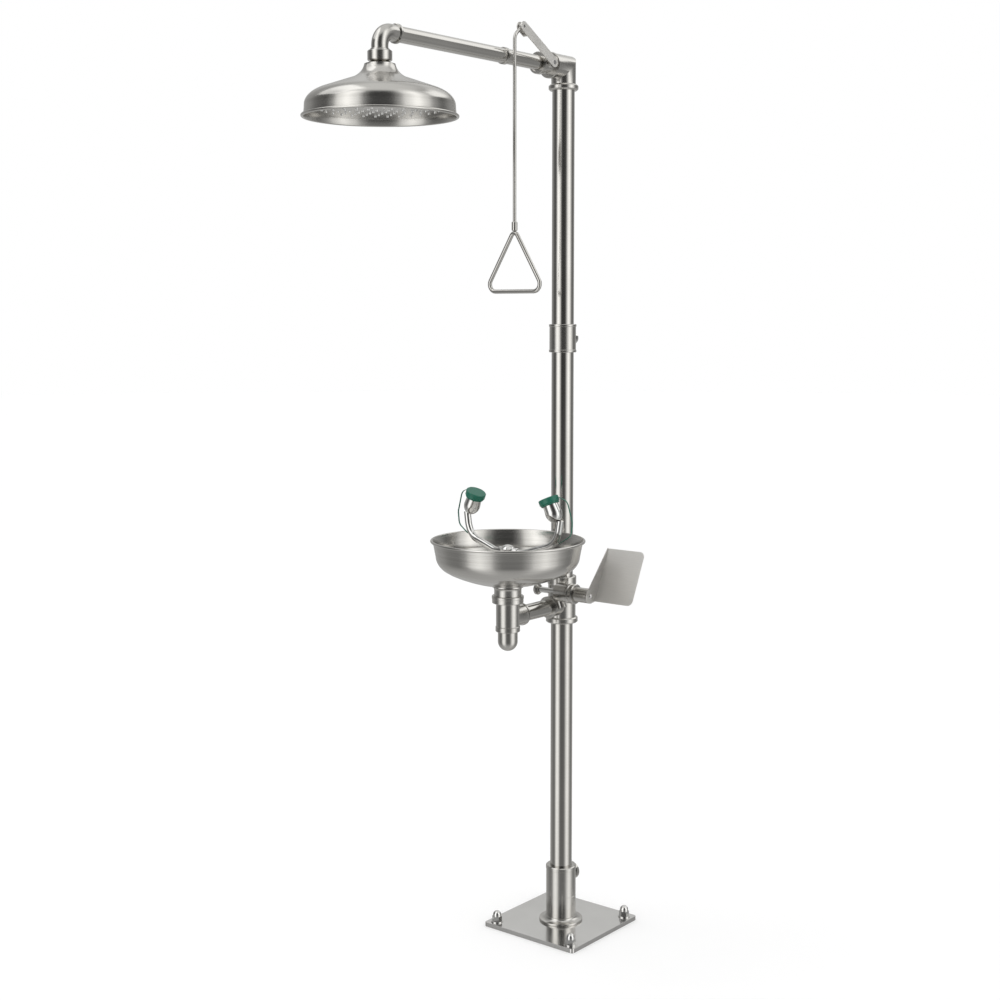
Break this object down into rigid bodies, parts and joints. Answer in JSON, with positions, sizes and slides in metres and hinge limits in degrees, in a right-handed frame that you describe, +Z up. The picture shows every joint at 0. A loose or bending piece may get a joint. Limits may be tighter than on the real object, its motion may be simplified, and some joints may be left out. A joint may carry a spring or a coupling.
{
  "type": "emergency safety shower",
  "caption": "Free-standing emergency shower with a pull-handle overhead head and a bowl eyewash worked by a push paddle, all on one floor-mounted stainless post.",
  "frame": {"origin": "centre of the post at the underside of the base plate", "axes": "+Z up; +X the way the shower arm and the bowl reach out; +Y the side of the push paddle"},
  "size_m": [1.0535, 0.457, 2.4465],
  "materials": {
    "brushed_tube": "brushed",
    "brushed_sheet": "satin brushed",
    "polished_chrome": "polished",
    "green_plastic": "semi-gloss",
    "black_seal": "matt"
  },
  "bodies": {
    "frame": {"base_plate": "brushed_sheet", "anchor_washers": "brushed_tube", "anchor_cap_nuts": "polished_chrome", "base_flange": "brushed_tube", "base_socket": "brushed_tube", "foot_nipple": "brushed_tube", "inlet_tee": "brushed_tube", "lower_pipe": "brushed_tube", "valve_tee": "brushed_tube", "middle_pipe": "brushed_tube", "mid_coupling": "brushed_tube", "coupling_plug": "polished_chrome", "upper_pipe": "brushed_tube", "top_elbow": "brushed_tube", "shower_valve_body": "brushed_tube", "ball_seats": "black_seal", "outlet_nipple": "brushed_tube", "arm_joint_ring": "brushed_tube", "shower_arm": "brushed_tube", "head_elbow": "brushed_tube", "head_union_nut": "brushed_tube", "shower_bell": "brushed_sheet", "spray_plate": "brushed_sheet", "feed_pipe": "brushed_tube", "bowl_tee": "brushed_tube", "trap_cup": "brushed_tube", "neck_union_ring": "brushed_tube", "bowl_neck": "brushed_tube", "bowl_gasket": "black_seal", "bowl": "brushed_sheet", "riser": "brushed_tube", "bowl_strainer": "polished_chrome", "manifold": "polished_chrome", "left_gooseneck": "polished_chrome", "right_gooseneck": "polished_chrome", "left_nozzle": "polished_chrome", "right_nozzle": "polished_chrome", "spray_inserts": "green_plastic", "left_cap_strap": "green_plastic", "right_cap_strap": "green_plastic", "gland_packing": "black_seal", "gland_nut": "brushed_tube"},
    "lever": {"shower_ball": "polished_chrome", "shower_stem": "polished_chrome", "shower_lever": "brushed_sheet", "lever_clevis": "brushed_sheet", "rod_pin": "polished_chrome"},
    "pull": {"pull_rod": "brushed_tube", "rod_ferrule": "brushed_tube", "pull_handle": "brushed_tube"},
    "paddle": {"valve_rotor": "polished_chrome", "spindle_knob": "brushed_tube", "paddle_sleeve": "brushed_tube", "push_paddle": "brushed_sheet", "paddle_screw": "polished_chrome"},
    "left_cap": {"left_dust_cap": "green_plastic"},
    "right_cap": {"right_dust_cap": "green_plastic"}
  },
  "joints": [
    {"name": "shower_lever_hinge", "type": "hinge", "parent": "frame", "child": "lever", "pos_m": [0.09, 0.036, 2.359], "axis": [0, 1, 0], "range_deg": [0, 90]},
    {"name": "pull_rod_hinge", "type": "hinge", "parent": "lever", "child": "pull", "pos_m": [0.2199, 0.0308, 2.434], "axis": [0, 1, 0], "range_deg": [-90, 0]},
    {"name": "paddle_hinge", "type": "hinge", "parent": "frame", "child": "paddle", "pos_m": [0.052, 0.1, 0.949], "axis": [0, -1, 0], "range_deg": [0, 70]},
    {"name": "left_cap_lift", "type": "slide", "parent": "frame", "child": "left_cap", "axis": [0.0524, 0.4033, 0.9135], "range_m": [0, 0.03], "deforming": ["left_cap_strap"]},
    {"name": "right_cap_lift", "type": "slide", "parent": "frame", "child": "right_cap", "axis": [0.0524, -0.4033, 0.9135], "range_m": [0, 0.03], "deforming": ["right_cap_strap"]}
  ],
  "couplings": [
    {"joint": "pull_rod_hinge", "follows": "shower_lever_hinge", "ratio": -1}
  ]
}
